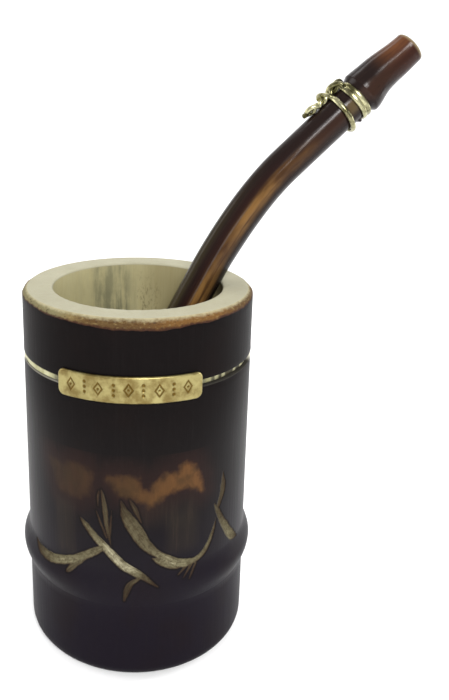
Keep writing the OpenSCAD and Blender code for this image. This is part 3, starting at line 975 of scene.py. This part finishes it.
def cane_material():
    """Polished cane: brown down its lit front and near-black at its shaded sides, painted light and shade,
    and redder at the mouth.
    """
    s = Shader("polished_cane")
    lay = s.attribute("lay", "Vector")
    drop = s.attribute("drop")
    streaks = s.grain((.9, .9, .03), 4, .6, source=lay)
    fibres = s.grain((4, 4, .1), 3, source=lay)
    blotch = s.grain((.16, .16, .05), 3, .55, source=lay)
    lower = s.between(drop, 45, 110)
    by_tip = s.between(drop, 15, 4)
    dark = s.mix(lower, rgb(27, 18, 16), rgb(20, 16, 12))
    dark = s.tint(dark, rgb(43, 31, 24), s.between(streaks, .45, .7), .4)
    brown = s.mix(s.between(blotch, .35, .62), rgb(62, 41, 23), rgb(110, 80, 43))
    brown = s.tint(brown, rgb(50, 30, 19), s.between(streaks, .52, .35), .5)
    brown = s.mix(s.between(drop, 120, 160), brown, rgb(70, 46, 25))
    under_joint = s.between(drop, 60, 34)
    brown = s.mix(under_joint, brown, rgb(45, 29, 22))
    # Painted reflection of the brass wire on the cane between its two loops.
    painted_brass_reflection = s.mul(s.between(drop, 22.6, 24.2), s.between(drop, 29.2, 27.6))
    brown = s.tint(brown, rgb(82, 69, 46), painted_brass_reflection, .8)
    # Painted light and shade: brown where the front is lit, the near-black colour at the shaded sides.
    painted_lit_front = s.mul(s.attribute("painted_lit_front"), s.between(streaks, .2, .45))
    colour = s.mix(painted_lit_front, dark, brown)
    colour = s.tint(colour, rgb(34, 17, 14), s.attribute("channel"), .75)
    colour = s.tint(colour, rgb(48, 42, 36), s.mul(s.attribute("back_side"), lower), .4)
    # Painted reflection of the cup's inner wall: olive along the cane's upper edge near the rim.
    painted_wall_reflection = s.mul(s.between(s.attribute("upper"), .88, .985), lower)
    colour = s.tint(colour, rgb(60, 51, 32), painted_wall_reflection, .7)
    tip_brown = s.mix(s.between(s.attribute("upper"), .5, .95), rgb(46, 26, 20), rgb(94, 58, 34))
    tip_brown = s.tint(tip_brown, rgb(56, 28, 22), s.between(streaks, .4, .65), .45)
    colour = s.tint(colour, tip_brown, by_tip, .9)
    # A pale band round the tip's bevel: worn edge with a painted highlight.
    colour = s.tint(colour, rgb(142, 128, 98), s.between(drop, 1.4, .2), .7)
    dull = s.line(s.between(drop, 70, 120), .18, .12)
    rough = s.add(s.mul(streaks, .12), dull)
    shine = s.line(s.between(drop, 116, 76), .09, .045)
    return s.done(colour, rough, shine, s.add(streaks, s.mul(fibres, .4)), .06, .6)


def cane_end_material():
    """The cane cut across, and the inside of its hole."""
    s = Shader("cane_end")
    dots = s.cells(s.place(), 2.6)
    mottle = s.noise(s.place(), .6, 4, .6)
    base = s.mix(mottle, rgb(122, 94, 62), rgb(176, 152, 114))
    base = s.tint(base, rgb(84, 56, 34), s.between(dots, .3, .1), .6)
    return s.done(base, s.line(mottle, .2, .55), .3, dots, .1, .6)


def brass(name, light, dark, rough, grain_scale, relief_mm, extra=None):
    """Worn brass whose colour and roughness vary; extra darkens it where its attribute is 1: real patina on
    the plate, painted shadow and painted reflection on the band.
    """
    s = Shader(name)
    cloud = s.grain((.22, .22, .22), 4, .6)
    grain = s.noise(s.place(), grain_scale, 4, .6)
    colour = s.mix(s.between(cloud, .35, .65), dark, light)
    colour = s.tint(colour, dark, s.between(grain, .55, .8), .35)
    if extra is not None:
        # Patina in the plate's punch marks; painted shadow and painted reflection on the band.
        attribute, patina_and_painted_light = extra
        colour = s.tint(colour, patina_and_painted_light, s.attribute(attribute), .92)
    s.set(Metallic=1.0)
    roughness = s.add(s.mul(s.add(cloud, grain), .14), rough)
    return s.done(colour, roughness, .5, s.add(grain, s.mul(cloud, 1.5)), relief_mm, .7)


def floor_material():
    """Almost white and quite dull."""
    s = Shader("pale_floor")
    soft = s.grain((.004, .004, .004), 3)
    colour = s.mix(soft, rgb(243, 243, 243), rgb(250, 250, 250))
    s.set(Base_Color=colour, Roughness=.85, Specular_IOR_Level=.1)
    return s.material


# ---- pieces
cup = build_cup([lacquer_material(), chamfer_material(), end_grain_material(), inside_material(),
                 hollow_material()])
straw = build_straw([cane_material(), cane_end_material()])
wire = build_wire(brass("brass_wire", rgb(186, 182, 144), rgb(88, 84, 54), .13, 1.5, .05))
# The band darkens where its painted reflection and painted shadow lie; the plate darkens with patina in its
# punch marks.
band = build_band(brass("brass_band", rgb(196, 194, 160), rgb(150, 146, 108), .34, 1.2, .06,
                        ("painted_shadow_and_reflection", rgb(40, 34, 24))))
plate = build_plate(brass("brass_plate", rgb(164, 153, 103), rgb(120, 104, 62), .24, .9, .06,
                          ("mark", rgb(92, 70, 26))))
for piece, node, slot in [(cup, "cup", "bamboo"), (straw, "straw", "cane"), (wire, "wire", "wire_brass"),
                          (band, "band", "band_brass"), (plate, "plate", "plate_brass")]:
    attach(piece, "root")
    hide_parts(node)


# ---- stage, lights and camera
def build_stage():
    """A pale floor that curves up into a backdrop behind the cup."""
    half, back, bend, top = 2600, 1500, 700, 2200
    line = [(-2200, 0), (back - bend, 0)]
    line += [(back - bend + bend * math.sin(t), bend - bend * math.cos(t))
             for t in np.linspace(.1, math.pi / 2, 16)]
    line += [(back, top)]
    xs = np.linspace(-half, half, 9)
    verts = np.array([(x, y, z) for y, z in line for x in xs])
    faces = grid_faces(len(line), len(xs), wrap=False)
    make_piece("floor", verts, faces, [floor_material()], None, 80)


def area_light(name, place, target, size, power):
    data = bpy.data.lights.new(name, "AREA")
    data.shape = "RECTANGLE"
    data.size, data.size_y = size
    data.energy = power
    light = bpy.data.objects.new(name, data)
    light.location = place
    light.rotation_euler = (Vector(target) - Vector(place)).to_track_quat("-Z", "Y").to_euler()
    bpy.context.collection.objects.link(light)


def build_world(strength):
    world = bpy.data.worlds.new("studio")
    bpy.context.scene.world = world
    world.use_nodes = True
    background = world.node_tree.nodes["Background"]
    background.inputs["Color"].default_value = (1, 1, 1, 1)
    background.inputs["Strength"].default_value = strength


def build_camera():
    right = Vector((0.9994, -0.0318, 0.0144))
    forward = Vector((0.0346, 0.9556, -0.2927)).normalized()
    right = (right - forward * right.dot(forward)).normalized()
    up = right.cross(forward)
    data = bpy.data.cameras.new("camera")
    data.sensor_width = 36
    data.lens = 40
    data.shift_x = 0.085
    data.shift_y = -0.0714
    camera = bpy.data.objects.new("camera", data)
    turn = Matrix((right, up, -forward)).transposed().to_4x4()
    place = (0, -0.22878, 0.18041)
    camera.matrix_world = Matrix.Translation(place) @ turn
    bpy.context.collection.objects.link(camera)
    bpy.context.scene.camera = camera


build_stage()
build_world(.55)
middle = (0, 0, .07)
area_light("key", (.12, -.9, .76), middle, (.34, .34), 13)
area_light("backdrop", (0, .55, 1.2), (0, 1.3, .2), (1.2, .5), 9)
area_light("left_side", (-.95, .15, .35), middle, (.5, .9), 5.2)
area_light("right_side", (.95, .25, .35), middle, (.3, .9), 6)
bpy.context.scene.view_settings.view_transform = "Standard"
build_camera()
